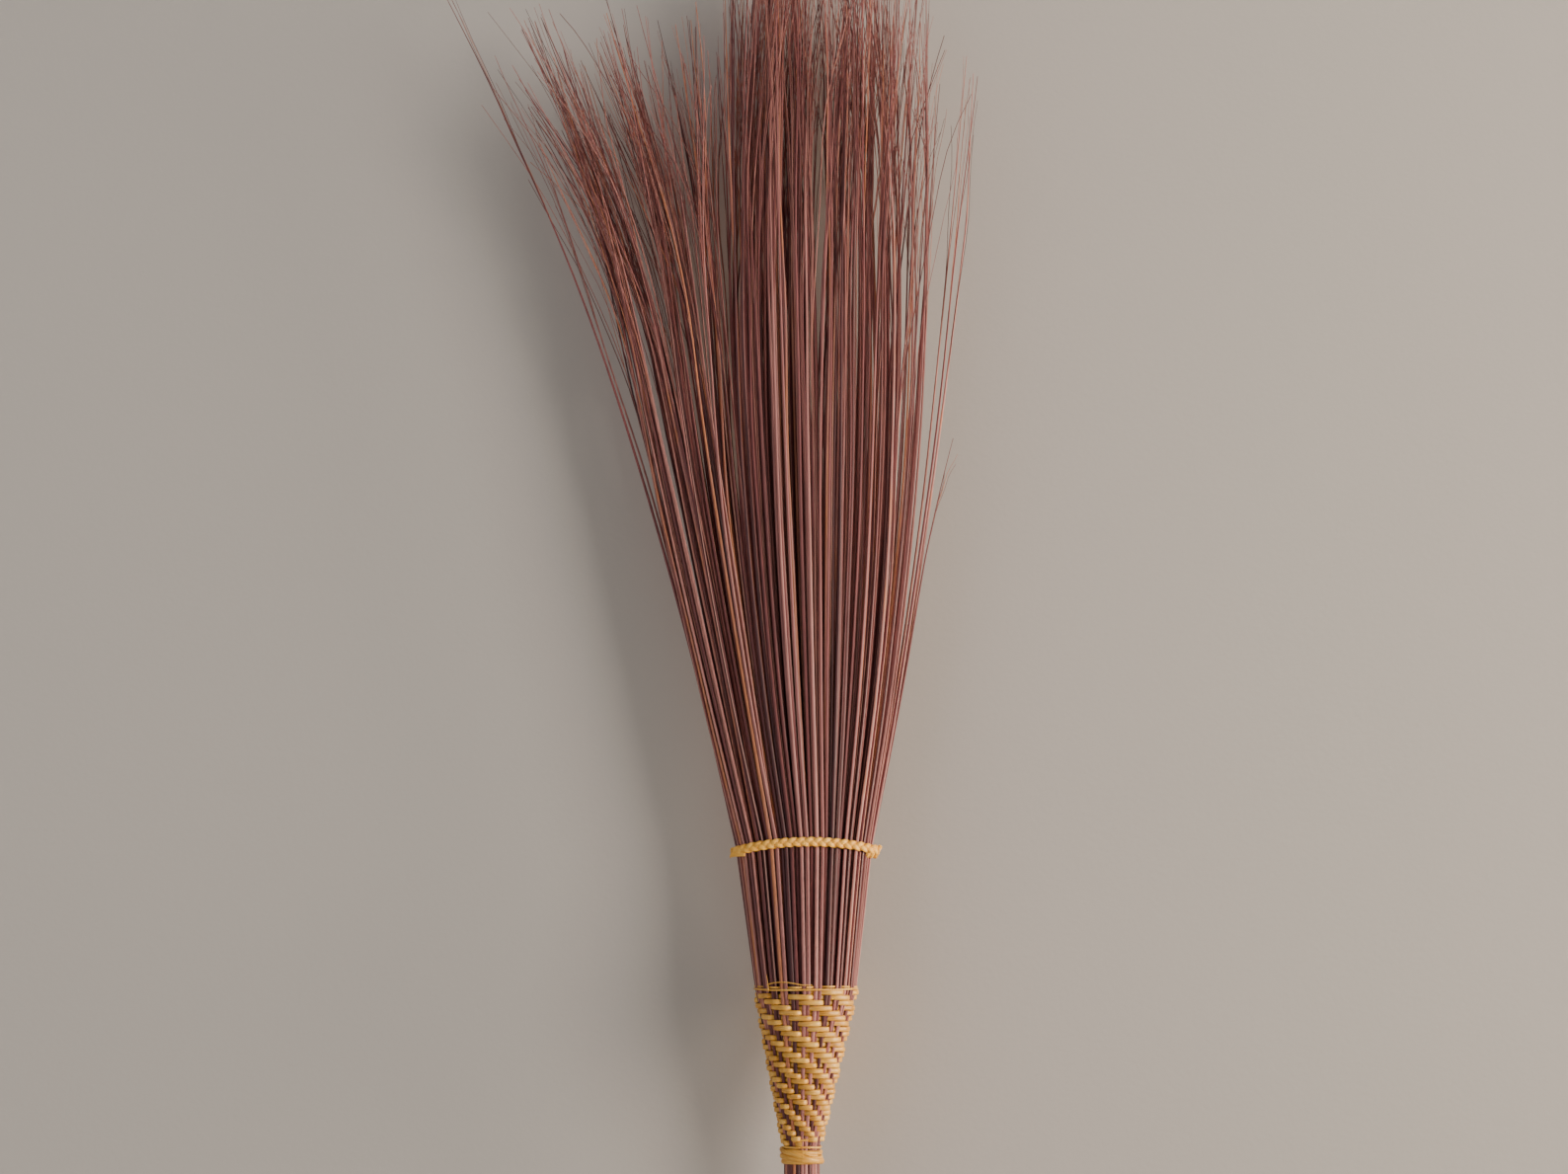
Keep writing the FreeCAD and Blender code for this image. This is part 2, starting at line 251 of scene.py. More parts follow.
def fill_ramp(ramp, stops):
    """Give a colour ramp its stops: (place, colour)."""
    elements = ramp.color_ramp.elements
    while len(elements) > 1:
        elements.remove(elements[-1])
    elements[0].position, elements[0].color = stops[0]
    for place, colour in stops[1:]:
        elements.new(place).color = colour


def empty_material(name):
    """A new material with only its shader and its output."""
    material = bpy.data.materials.new(name)
    material.use_nodes = True
    material.node_tree.nodes.clear()
    shader = add_node(material, "ShaderNodeBsdfPrincipled")
    add_node(material, "ShaderNodeOutputMaterial", sockets={"Surface": shader.outputs[0]})
    return material, shader


def link(material, output, shader, socket):
    """Lead a node's output into one of the shader's sockets."""
    material.node_tree.links.new(output, shader.inputs[socket])


def fraction_of(material, value, times):
    """A number from 0 to 1 that jumps about as the value changes: the fraction part of a multiple."""
    scaled = add_node(material, "ShaderNodeMath", {"operation": "MULTIPLY"}, {0: value, 1: times})
    fraction = add_node(material, "ShaderNodeMath", {"operation": "FRACT"}, {0: scaled.outputs[0]})
    return fraction.outputs[0]


def keel_highlight_line(material, tone, across):
    """How much of the pale line shows, partly the rib's own paler ridge and partly a painted highlight: a
    band a quarter of a rib wide, where the rib's tone puts it.

    The tone's multiples, 17 and 5.3, give each rib its own place and strength of this line."""
    place = add_node(material, "ShaderNodeMapRange", sockets={
        "Value": fraction_of(material, tone, 17.0), "To Min": 0.25, "To Max": 0.75})
    away = add_node(material, "ShaderNodeMath", {"operation": "SUBTRACT"}, {
        0: across, 1: place.outputs[0]})
    distance = add_node(material, "ShaderNodeMath", {"operation": "ABSOLUTE"}, {0: away.outputs[0]})
    band = add_node(material, "ShaderNodeMapRange", sockets={
        "Value": distance.outputs[0], "From Min": 0.06, "From Max": 0.18, "To Min": 1.0, "To Max": 0.0})
    strength = add_node(material, "ShaderNodeMapRange", sockets={
        "Value": fraction_of(material, tone, 5.3), "From Min": 0.3, "From Max": 0.9, "To Max": 0.85})
    return add_node(material, "ShaderNodeMath", {"operation": "MULTIPLY"}, {
        0: band.outputs[0], 1: strength.outputs[0]}).outputs[0]


def dried_palm_rib():
    """Dried palm midrib, rubbed to a satin: each rib its own brown, most of them with a pale line along
    it, partly a paler ridge and partly a painted highlight.
    """
    colours = bpy.context.scene.broom_colours
    material, shader = empty_material("dried_palm_rib_satin")
    tone = add_node(material, "ShaderNodeAttribute", {"attribute_name": "tone"})
    across = add_node(material, "ShaderNodeAttribute", {"attribute_name": "across"})
    # grain lines about 0.6 mm apart and 40 mm long; real ones are finer and would not show
    place = add_node(material, "ShaderNodeTexCoord")
    grain_scale = add_node(material, "ShaderNodeMapping", sockets={
        "Vector": place.outputs["Object"], "Scale": (1600, 1600, 25)})
    grain = add_node(material, "ShaderNodeTexNoise", sockets={
        "Vector": grain_scale.outputs[0], "Scale": 1.0, "Detail": 3.0})
    # weathered patches about 60 mm long, which make the rib up to 0.17 lighter or darker in tone
    patch_scale = add_node(material, "ShaderNodeMapping", sockets={
        "Vector": place.outputs["Object"], "Scale": (220, 220, 16)})
    patches = add_node(material, "ShaderNodeTexNoise", sockets={
        "Vector": patch_scale.outputs[0], "Scale": 1.0, "Detail": 2.0})
    shade = add_node(material, "ShaderNodeMath", {"operation": "MULTIPLY_ADD"}, {
        0: patches.outputs[0], 1: 0.34, 2: tone.outputs["Fac"]})
    shade = add_node(material, "ShaderNodeMath", {"operation": "SUBTRACT"}, {
        0: shade.outputs[0], 1: 0.17})
    ramp = add_node(material, "ShaderNodeValToRGB", sockets={"Fac": shade.outputs[0]})
    fill_ramp(ramp, [(0.0, tuple(colours.rib_dark)), (0.48, tuple(colours.rib_middle)),
                     (0.9, tuple(colours.rib_light)), (1.0, tuple(colours.rib_orange))])
    # a pale line along each rib: partly its own paler ridge, partly a painted highlight
    keel_highlight = keel_highlight_line(material, tone.outputs["Fac"], across.outputs["Fac"])
    keel_highlighted = add_node(material, "ShaderNodeMix", {"data_type": "RGBA"}, {
        "Factor": keel_highlight, 6: ramp.outputs[0], 7: tuple(colours.rib_keel_highlight)})
    grain_shade = add_node(material, "ShaderNodeMapRange", sockets={
        "Value": grain.outputs[0], "From Min": 0.3, "From Max": 0.7, "To Min": 0.62, "To Max": 1.18})
    mixed = add_node(material, "ShaderNodeMix", {"data_type": "RGBA", "blend_type": "MULTIPLY"}, {
        "Factor": 1.0, 6: keel_highlighted.outputs[2], 7: grain_shade.outputs[0]})
    link(material, mixed.outputs[2], shader, "Base Color")
    rough = add_node(material, "ShaderNodeMapRange", sockets={
        "Value": grain.outputs[0], "To Min": 0.4, "To Max": 0.66})
    link(material, rough.outputs[0], shader, "Roughness")
    bump = add_node(material, "ShaderNodeBump", sockets={
        "Strength": 0.5, "Distance": 0.15 * MM, "Height": grain.outputs[0]})
    link(material, bump.outputs[0], shader, "Normal")
    return material


def golden_cane(name, gold, fibre_length, roughness):
    """Split cane or palm strand: golden, with fibres along it, paler where it is rubbed."""
    colours = bpy.context.scene.broom_colours
    material, shader = empty_material(name)
    tone = add_node(material, "ShaderNodeAttribute", {"attribute_name": "tone"})
    along = add_node(material, "ShaderNodeAttribute", {"attribute_name": "along"})
    across = add_node(material, "ShaderNodeAttribute", {"attribute_name": "across"})
    along_steps = add_node(material, "ShaderNodeMath", {"operation": "DIVIDE"}, {
        0: along.outputs["Fac"], 1: fibre_length})
    # about nine fibres show across the strand
    across_steps = add_node(material, "ShaderNodeMath", {"operation": "MULTIPLY"}, {
        0: across.outputs["Fac"], 1: 9.0})
    tone_steps = add_node(material, "ShaderNodeMath", {"operation": "MULTIPLY"}, {
        0: tone.outputs["Fac"], 1: 40.0})
    place = add_node(material, "ShaderNodeCombineXYZ", sockets={
        0: along_steps.outputs[0], 1: across_steps.outputs[0], 2: tone_steps.outputs[0]})
    fibres = add_node(material, "ShaderNodeTexNoise", sockets={
        "Vector": place.outputs[0], "Scale": 1.0, "Detail": 3.0})
    # the colour drifts over a few centimetres of strand
    drift_place = add_node(material, "ShaderNodeCombineXYZ", sockets={
        0: along_steps.outputs[0], 2: tone_steps.outputs[0]})
    drift = add_node(material, "ShaderNodeTexNoise", sockets={
        "Vector": drift_place.outputs[0], "Scale": 0.45, "Detail": 1.0})
    shade = add_node(material, "ShaderNodeMath", {"operation": "ADD"}, {
        0: fibres.outputs[0], 1: drift.outputs[0]})
    ramp_place = add_node(material, "ShaderNodeMapRange", sockets={
        "Value": shade.outputs[0], "From Min": 0.55, "From Max": 1.45})
    ramp = add_node(material, "ShaderNodeValToRGB", sockets={"Fac": ramp_place.outputs[0]})
    fill_ramp(ramp, [(0.0, tuple(colours.cane_dark)), (0.42, tuple(getattr(colours, gold))),
                     (1.0, tuple(colours.cane_pale))])
    link(material, ramp.outputs[0], shader, "Base Color")
    shader.inputs["Roughness"].default_value = roughness
    shader.inputs["Coat Weight"].default_value = 0.15
    shader.inputs["Coat Roughness"].default_value = 0.3
    bump = add_node(material, "ShaderNodeBump", sockets={
        "Strength": 0.6, "Distance": 0.12 * MM, "Height": fibres.outputs[0]})
    link(material, bump.outputs[0], shader, "Normal")
    return material


def split_cane():
    """The cane of the weave and of every binding: glossy enough to glint along its edges."""
    name = "split_cane_golden"
    return bpy.data.materials.get(name) or golden_cane(name, "cane_gold", 7 * MM, 0.42)


def plaited_fibre():
    """The tie's softer palm fibre: the same gold, more matt and with shorter fibres."""
    name = "plaited_palm_fibre"
    return bpy.data.materials.get(name) or golden_cane(name, "cord_gold", 5 * MM, 0.55)


def painted_plaster(name, colour, one_sided=False):
    """Flat emulsion over plaster: matt, with a faint roller stipple.

    A one-sided wall can't be seen from behind, and lets the light from behind reach the broom."""
    material, shader = empty_material(name)
    place = add_node(material, "ShaderNodeTexCoord")
    # roller stipple about 4 mm across
    stipple = add_node(material, "ShaderNodeTexNoise", sockets={
        "Vector": place.outputs["Object"], "Scale": 250.0, "Detail": 2.0})
    shader.inputs["Base Color"].default_value = colour
    shader.inputs["Roughness"].default_value = 0.85
    bump = add_node(material, "ShaderNodeBump", sockets={
        "Strength": 0.25, "Distance": 0.4 * MM, "Height": stipple.outputs[0]})
    link(material, bump.outputs[0], shader, "Normal")
    if one_sided:
        side = add_node(material, "ShaderNodeNewGeometry")
        ray = add_node(material, "ShaderNodeLightPath")
        opening = add_node(material, "ShaderNodeMath", {"operation": "MAXIMUM"}, {
            0: side.outputs["Backfacing"], 1: ray.outputs["Is Shadow Ray"]})
        clear = add_node(material, "ShaderNodeBsdfTransparent")
        mix = add_node(material, "ShaderNodeMixShader", sockets={
            0: opening.outputs[0], 1: shader.outputs[0], 2: clear.outputs[0]})
        output = next(n for n in material.node_tree.nodes if n.type == "OUTPUT_MATERIAL")
        material.node_tree.links.new(mix.outputs[0], output.inputs["Surface"])
    return material


# ------------------------------------------------------------------ strands


def oval_profile(name, width, thickness, sides, boxiness=1.0):
    """The outline of a strand's section, as a closed curve. A lower boxiness squares it off."""
    curve = bpy.data.curves.new(name, "CURVE")
    curve.dimensions = "2D"
    spline = curve.splines.new("POLY")
    spline.points.add(sides - 1)
    spline.use_cyclic_u = True
    for i, point in enumerate(spline.points):
        c = math.cos(TAU * (i + 0.5) / sides)
        s = math.sin(TAU * (i + 0.5) / sides)
        x = 0.5 * thickness * math.copysign(abs(c) ** boxiness, c)
        y = 0.5 * width * math.copysign(abs(s) ** boxiness, s)
        point.co = (x, y, 0, 1)
    profile = bpy.data.objects.new(name, curve)
    bpy.context.collection.objects.link(profile)
    return profile


def sweep_strands(name, profile, paths, twist="Z_UP"):
    """Sweep the profile along every path, as one mesh. A path is a list of (point, scale, tilt)."""
    curve = bpy.data.curves.new(name, "CURVE")
    curve.dimensions = "3D"
    curve.twist_mode = twist
    curve.bevel_mode = "OBJECT"
    curve.bevel_object = profile
    for path in paths:
        spline = curve.splines.new("POLY")
        spline.points.add(len(path) - 1)
        for point, (place, scale, tilt) in zip(spline.points, path):
            point.co = (*place, 1)
            point.radius = scale
            point.tilt = tilt
    piece = bpy.data.objects.new(name, curve)
    bpy.context.collection.objects.link(piece)
    bpy.ops.object.select_all(action="DESELECT")
    piece.select_set(True)
    bpy.context.view_layer.objects.active = piece
    bpy.ops.object.convert(target="MESH")
    piece = bpy.context.view_layer.objects.active
    sides = len(profile.data.splines[0].points)
    bpy.data.objects.remove(profile)
    write_strand_attributes(piece, paths, sides)
    bpy.ops.object.mode_set(mode="EDIT")
    bpy.ops.mesh.select_all(action="SELECT")
    bpy.ops.mesh.fill_holes(sides=0)
    bpy.ops.mesh.normals_make_consistent(inside=False)
    bpy.ops.object.mode_set(mode="OBJECT")
    bpy.ops.object.shade_smooth_by_angle(angle=math.radians(55))
    return piece


def write_strand_attributes(piece, paths, sides):
    """Store each strand's tone, the distance along it and the place across it, for the materials."""
    mesh = piece.data
    expected = sides * sum(len(path) for path in paths)
    if len(mesh.vertices) != expected:
        raise RuntimeError(f"{piece.name} has {len(mesh.vertices)} vertices, not {expected}")
    chance = random.Random(piece.name)
    tone, along, across = [], [], []
    for path in paths:
        strand_tone = chance.random()
        length = 0.0
        for i, (place, _, _) in enumerate(path):
            length += (Vector(place) - Vector(path[i - 1][0])).length if i else 0.0
            for k in range(sides):
                tone.append(strand_tone)
                along.append(length)
                across.append(0.5 + 0.5 * math.sin(TAU * (k + 0.5) / sides))
    for name, values in (("tone", tone), ("along", along), ("across", across)):
        mesh.attributes.new(name, "FLOAT", "POINT").data.foreach_set("value", values)


def finish_piece(piece, material, slot, *nodes):
    """Give a piece its material and let it stand for the CAD nodes that it replaces."""
    piece.data.materials.clear()
    piece.data.materials.append(material)
    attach(piece, "root")
    if nodes:
        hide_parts(*nodes)


# ------------------------------------------------------------------ ribs


def smooth_value(a, b, c, d, t):
    """The Catmull-Rom value between b and c."""
    return 0.5 * (2 * b + (c - a) * t + (2 * a - 5 * b + 4 * c - d) * t * t
                  + (3 * b - a - 3 * c + d) * t ** 3)


def rib_centre(sections, z):
    """A rib's centre and half width at one level: straight up to the tie, a smooth bend above it."""
    last = len(sections) - 1
    i = next((k for k in range(last) if sections[k + 1][0].z >= z), last - 1)
    (b, b_half, *_), (c, c_half, *_) = sections[i], sections[i + 1]
    t = min(1.0, (z - b.z) / (c.z - b.z))
    half = b_half + (c_half - b_half) * t
    if z <= TIE:
        return b.lerp(c, t), half
    a = sections[i - 1][0] if b.z > TIE + MM else b * 2 - c
    d = sections[i + 2][0] if i + 2 <= last else c * 2 - b
    return smooth_value(a, b, c, d, t), half


# A rib's path has a knot at each of these levels up to the tie, apart from those at or just above
# its butt, and then so many above the tie.
LEVELS_BELOW_TIE = sorted([BUTT, NECK, CONE_TOP, TIE] + [
    level * MM for level in (50, 100, 140, 160, 175, 200, 225, 245, 270, 300, 330)])
RIB_KNOTS_ABOVE_TIE = 34
CLEAR_OF_BUTT = 2 * MM
# The waves of a rib: how many, their lengths, how unevenly high they are, and how late they grow.
WAVES = 4
WAVE_LENGTHS = (0.18, 0.5)
WAVE_SPREAD = 0.6
WAVE_GROWTH = 1.4
# The tip leans over the upper half of the fan, and may have a kink somewhere above the middle.
LEAN_FROM = 0.5
LEAN_SPREAD = (1, 0.5)
KINK_LEVELS = (0.55, 0.95)
KINK_SPREAD = 0.35


def rib_path(sections, chance, sizes):
    """One rib's path: the frame's centre line, with small waves and a whippy, leaning tip."""
    butt = sections[0][0].z
    tip = sections[-1][0].z
    levels = [butt] + [z for z in LEVELS_BELOW_TIE if z > butt + CLEAR_OF_BUTT]
    levels += [TIE + (tip - TIE) * (k + 1) / RIB_KNOTS_ABOVE_TIE for k in range(RIB_KNOTS_ABOVE_TIE)]
    wide = sections[1][2]
    tilt = math.atan2(wide.y, wide.x)
    waves = [
        (chance.uniform(*WAVE_LENGTHS), chance.uniform(0, TAU), chance.gauss(0, WAVE_SPREAD))
        for _ in range(WAVES)
    ]
    lean_x = chance.gauss(0, LEAN_SPREAD[0]) * sizes.tip_drift
    lean_y = chance.gauss(0, LEAN_SPREAD[1]) * sizes.tip_drift
    kink_at = chance.uniform(*KINK_LEVELS)
    kink = chance.gauss(0, KINK_SPREAD) * sizes.tip_drift
    path = []
    for z in levels:
        place, half = rib_centre(sections, z)
        rise = max(0.0, (z - TIE) / (tip - TIE))
        reach = sizes.rib_wave * rise ** WAVE_GROWTH
        for n, (length, start, size) in enumerate(waves):
            place[n % 2] += reach * size * math.sin(TAU * z / length + start)
        bend = max(0.0, (rise - LEAN_FROM) / (1 - LEAN_FROM)) ** 2
        place.x += lean_x * bend + kink * max(0.0, rise - kink_at) / (1 - kink_at)
        place.y += lean_y * bend
        path.append((place, half / MM, tilt))
    return path


FIBRE_KNOTS = 11
# A loose fibre leaves its rib between these shares of the fan's height.
FIBRE_STARTS = (0.35, 0.75)
# The left tufts, whose tips curl outwards, by where the tips are in x. Fibres there and elsewhere:
# how many stray, how much further they reach, and which way they tend.
CURLING_TIPS = (-205 * MM, -60 * MM)
CURLING_FIBRES = {"share": 0.18, "reach": 4.6, "outward": -0.6}
OTHER_FIBRES = {"share": 0.06, "reach": 3.2, "outward": 0.1}
# How late a fibre bends away from its rib, as a power, and how thick it starts: one that strays,
# and one that stays close.
STRAY_BEND = (1.9, 0.5)
CLOSE_BEND = (2.2, 0.4)
FIBRE_TAPER = 0.22
# How unevenly fibres spread in x and y, how far each sinks for the way that it goes sideways, and
# how far and how often it ripples.
FIBRE_SPREAD = (0.8, 0.35)
FIBRE_DROOP = 0.35
RIPPLE_REACH = 0.09
RIPPLES = 2.2
# A fibre ends at its rib's tip, or up to this many knots below it.
KNOTS_SHORT = 3


def fibre_path(rib, chance, sizes):
    """A loose fibre that leaves its rib part-way up and wanders off to its own thin tip."""
    above = [knot for knot in rib if knot[0].z > TIE]
    first = int(len(above) * chance.uniform(*FIBRE_STARTS))
    last = len(above) - 1 - chance.randint(0, KNOTS_SHORT)
    tip = above[last][0]
    habit = CURLING_FIBRES if CURLING_TIPS[0] < tip.x < CURLING_TIPS[1] else OTHER_FIBRES
    is_stray = chance.random() < habit["share"]
    reach = habit["reach"] if is_stray else 1
    power, thick = STRAY_BEND if is_stray else CLOSE_BEND
    lean_x = sizes.fray * reach * chance.gauss(habit["outward"], FIBRE_SPREAD[0])
    lean_x = max(CAD_BOX[0].x - tip.x, min(CAD_BOX[1].x - tip.x, lean_x))
    lean_y = sizes.fray * chance.gauss(0, FIBRE_SPREAD[1])
    start = chance.uniform(0, TAU)
    path = []
    for k in range(FIBRE_KNOTS + 1):
        t = k / FIBRE_KNOTS
        along = first + (last - first) * t
        below = min(int(along), len(above) - 2)
        place = above[below][0].lerp(above[below + 1][0], along - below)
        away = t ** power
        ripple = RIPPLE_REACH * sizes.fray * t * math.sin(TAU * RIPPLES * t + start)
        droop = FIBRE_DROOP * abs(lean_x) * away
        place += Vector((lean_x * away + ripple, lean_y * away, -droop))
        path.append((place, thick - FIBRE_TAPER * t, 0.0))
    return path


class BROOM_OT_ribs(bpy.types.Operator):
    """Draw every tuft's ribs as tapering strands with small waves, whippy tips and loose fibres"""

    bl_idname = "broom.ribs"
    bl_label = "Ribs"

    def execute(self, context):
        sizes = context.scene.broom_sizes
        material = dried_palm_rib()
        for node in RIB_NODES:
            chance = random.Random(node)
            paths = [rib_path(sections, chance, sizes) for sections in RIBS[node]]
            paths += [fibre_path(rib, chance, sizes) for rib in paths for _ in range(sizes.fibres)]
            # the outline is 2 mm along its wide side, and a knot's scale is half the rib's width in mm
            profile = oval_profile("rib_outline", 1.6 * MM, 2 * MM, sides=7)
            piece = sweep_strands(f"{node}_drawn", profile, paths, twist="MINIMUM")
            finish_piece(piece, material, SLOT_OF[node], node)
        return {"FINISHED"}


# ------------------------------------------------------------------ woven cone

STEPS_PER_GROUP = 6
# Half the length of the weft's turn outwards and of its turn back, in groups of ribs: at the neck,
# and how much shorter at the cone's top.
TURN_OUT = (0.5, 0.15)
TURN_BACK = (1.0, 0.3)
# Below 1, a float's bulge peaks before the float's middle.
BULGE_SKEW = 0.6
# The weft drifts up and down a little, towards a new level every two groups: how far that is, in
# mm, and what share of the way it goes at each step.
WEFT_SEED = 5
WEFT_SWAY = 0.16
SWAY_SHARE = 0.2


def smooth_turn(away, half):
    """From -1 to 1 across a turn of the strand, as a sine. Away is the distance past its middle."""
    return math.sin(0.5 * math.pi * max(-1.0, min(1.0, away / half)))


def weft_offset(place, rise):
    """The weft's offset from the ring of ribs, from -1 to 1, and its bulge, from 0 to 1.

    It goes over two groups and under two. It comes out sharply at the right of each float, bulges,
    and sinks slowly to the left. Low on the cone the groups stand close, so more of each float is
    taken up by its turns."""
    # phase 0 is the middle of the turn outwards, and phase 2 the middle of the turn back
    phase = (place + 0.5) % 4
    if phase > 3:
        phase -= 4
    if phase < 1:
        out = smooth_turn(phase, TURN_OUT[0] - TURN_OUT[1] * rise)
    else:
        out = -smooth_turn(phase - 2, TURN_BACK[0] - TURN_BACK[1] * rise)
    bulge = math.sin(math.pi * (0.5 * phase) ** BULGE_SKEW) if 0 < phase < 2 else 0
    return out, bulge


class BROOM_OT_woven_cone(bpy.types.Operator):
    """Weave one flat cane round the ribs of the cone, over two groups and under two"""

    bl_idname = "broom.woven_cone"
    bl_label = "Woven cone"

    def execute(self, context):
        sizes = context.scene.broom_sizes
        low = NECK + 0.5 * sizes.weft_width
        high = levels_of("woven_cone_weft")[1] - 0.5 * sizes.weft_width
        chance = random.Random(WEFT_SEED)
        total = sizes.weft_rows * GROUPS
        out = 0.5 * (RIB_THICKNESS + sizes.weft_thickness)
        path = []
        sway = 0.0
        for k in range(total * STEPS_PER_GROUP + 1):
            place = k / STEPS_PER_GROUP
            z = low + (high - low) * place / total
            if k % (2 * STEPS_PER_GROUP) == 0:
                sway_to = chance.gauss(0, WEFT_SWAY) * MM
            sway += (sway_to - sway) * SWAY_SHARE
            offset, bulge = weft_offset(place, place / total)
            radius = cone_radius(z) + out * offset + sizes.weft_bulge * bulge
            path.append((around(z + sway, -TAU * place / GROUPS, radius), 1.0, 0.0))
        profile = oval_profile("weft_outline", sizes.weft_width, sizes.weft_thickness,
                               sides=10, boxiness=0.75)
        piece = sweep_strands("woven_cane", profile, [path])
        finish_piece(piece, split_cane(), "cane_weft", "woven_cone_weft")
        return {"FINISHED"}


# ------------------------------------------------------------------ bindings and tie

# The middle of a strand that lies on the handle is this far from the handle's axis.
BINDING_REACH = HANDLE_REACH + 0.5 * RIB_THICKNESS + 0.7 * MM
# Each turn of the collar: its level as a share of the collar's height, how far further out it lies,
# its tilt, the angle that it tilts to and its wobble. The last two turns cross the others.
COLLAR_TURNS = (
    (0.16, 0.0, 0.03, 0.9, 0.12 * MM),
    (0.42, 0.2 * MM, -0.05, 1.0, 0.12 * MM),
    (0.72, 0.0, 0.05, -0.6, 0.12 * MM),
    (0.50, 1.1 * MM, 0.26, -TAU / 4, 0.1 * MM),
    (0.30, 0.9 * MM, 0.12, -TAU / 4, 0.1 * MM),
)
# The thin strand above them and its two loose ends: the height above the collar, how far further
# out, the tilt and its angle, the wobble, the first angle, the arc and the number of steps.
COLLAR_ENDS = (
    (0.2 * MM, 0.2 * MM, 0.06, 0.3, 0.2 * MM, 0.0, TAU, 48),
    (1.6 * MM, 0.7 * MM, 0.3, 0.3, 0.0, -0.45, 0.75, 14),
    (1.2 * MM, 0.9 * MM, -0.4, 0.9, 0.0, 0.15, 0.7, 14),
)
COLLAR_SEED = 1
BUTT_TURNS = 4
BUTT_TILT = 0.03
BUTT_WOBBLE = 0.1 * MM
BUTT_SEED = 20
# The strand that crosses the butt binding: how far further out it lies, its tilt and its seed.
BUTT_CROSSING = (1.2 * MM, 0.3, 30)


def wound_turn(level, radius, tilt, lean, wobble, seed, start=0.0, sweep=TAU, steps=48):
    """One turn of strand about the handle. A tilt above 0 makes it highest at the angle lean."""
    chance = random.Random(seed)
    # the wobble is two waves, with two to five humps each
    waves = [(chance.randint(2, 5), chance.uniform(0, TAU)) for _ in range(2)]
    path = []
    for k in range(steps + 1):
        angle = start + sweep * k / steps
        rise = radius * math.tan(tilt) * math.cos(angle - lean)
        rise += wobble * sum(math.sin(n * angle + turn) for n, turn in waves)
        path.append((around(level + rise, angle, radius), 1.0, 0.0))
    return path


class BROOM_OT_collar(bpy.types.Operator):
    """Wind the collar between handle and cone: flat turns, two across them, and small ends"""

    bl_idname = "broom.collar"
    bl_label = "Lower collar"

    def execute(self, context):
        width = context.scene.broom_sizes.binding_strand
        low, high = levels_of("lower_collar_wrap")[0], levels_of("lower_collar_top_strand")[1]
        turns = [
            wound_turn(low + share * (high - low), BINDING_REACH + out, tilt, lean, wobble, seed)
            for seed, (share, out, tilt, lean, wobble) in enumerate(COLLAR_TURNS, COLLAR_SEED)
        ]
        profile = oval_profile("collar_outline", width, 2.4 * MM, sides=10)
        piece = sweep_strands("collar_turns", profile, turns)
        finish_piece(piece, split_cane(), "cane_binding", "lower_collar_wrap")
        ends = [
            wound_turn(high + above, BINDING_REACH + out, tilt, lean, wobble, seed, start, sweep, steps)
            for seed, (above, out, tilt, lean, wobble, start, sweep, steps)
            in enumerate(COLLAR_ENDS, COLLAR_SEED + len(COLLAR_TURNS))
        ]
        profile = oval_profile("collar_end_outline", 1.5 * MM, 1.1 * MM, sides=8)
        piece = sweep_strands("collar_top_strand", profile, ends)
        finish_piece(piece, split_cane(), "cane_binding", "lower_collar_top_strand")
        return {"FINISHED"}


class BROOM_OT_butt_binding(bpy.types.Operator):
    """Wind the binding that keeps the ribs together at the butt"""

    bl_idname = "broom.butt_binding"
    bl_label = "Butt binding"

    def execute(self, context):
        width = context.scene.broom_sizes.binding_strand
        low, high = levels_of("butt_binding")
        turns = [
            wound_turn(low + (high - low) * (n + 0.5) / BUTT_TURNS, BINDING_REACH,
                       BUTT_TILT * (-1) ** n, n, BUTT_WOBBLE, BUTT_SEED + n)
            for n in range(BUTT_TURNS)
        ]
        out, tilt, seed = BUTT_CROSSING
        turns.append(wound_turn(0.5 * (low + high), BINDING_REACH + out, tilt, TAU / 4, BUTT_WOBBLE, seed))
        profile = oval_profile("butt_outline", width, 1.4 * MM, sides=10, boxiness=0.8)
        piece = sweep_strands("butt_binding_turns", profile, turns)
        finish_piece(piece, split_cane(), "cane_binding", "butt_binding")
        return {"FINISHED"}


# The lashing goes over one group of ribs and under the next, and sways a little on its way round.
LASHING_STEPS = 6
LASHING_OUT = 0.5 * RIB_THICKNESS + 0.6 * MM
LASHING_REACH = cone_radius(CONE_TOP) + LASHING_OUT
LASHING_SWAY = 0.3 * MM
SWAY_PER_GROUP = 0.7
# The curl at the cone's front left: its first angle, its arc, how high it lifts and how far out it goes.
CURL_STEPS = 24
CURL_START, CURL_ARC = -0.85, 0.95
CURL_LIFT, CURL_OUT = 1.8 * MM, 1.6 * MM
# The split end beside it: its angle, how far below the lashing's top it starts and how long it is.
SPLIT_STEPS = 8
SPLIT_ANGLE = -0.78
SPLIT_BELOW, SPLIT_LENGTH = 4 * MM, 11 * MM
SPLIT_OUT = 0.8 * MM


def over_and_under(level):
    """The lashing's own turn: over one group of ribs and under the next, round the cone's top."""
    path = []
    for k in range(GROUPS * LASHING_STEPS + 1):
        group = k / LASHING_STEPS
        z = level + LASHING_SWAY * math.sin(SWAY_PER_GROUP * group)
        radius = cone_radius(CONE_TOP) + LASHING_OUT * math.cos(math.pi * group)
        path.append((around(z, TAU * group / GROUPS, radius), 1.0, 0.0))
    return path


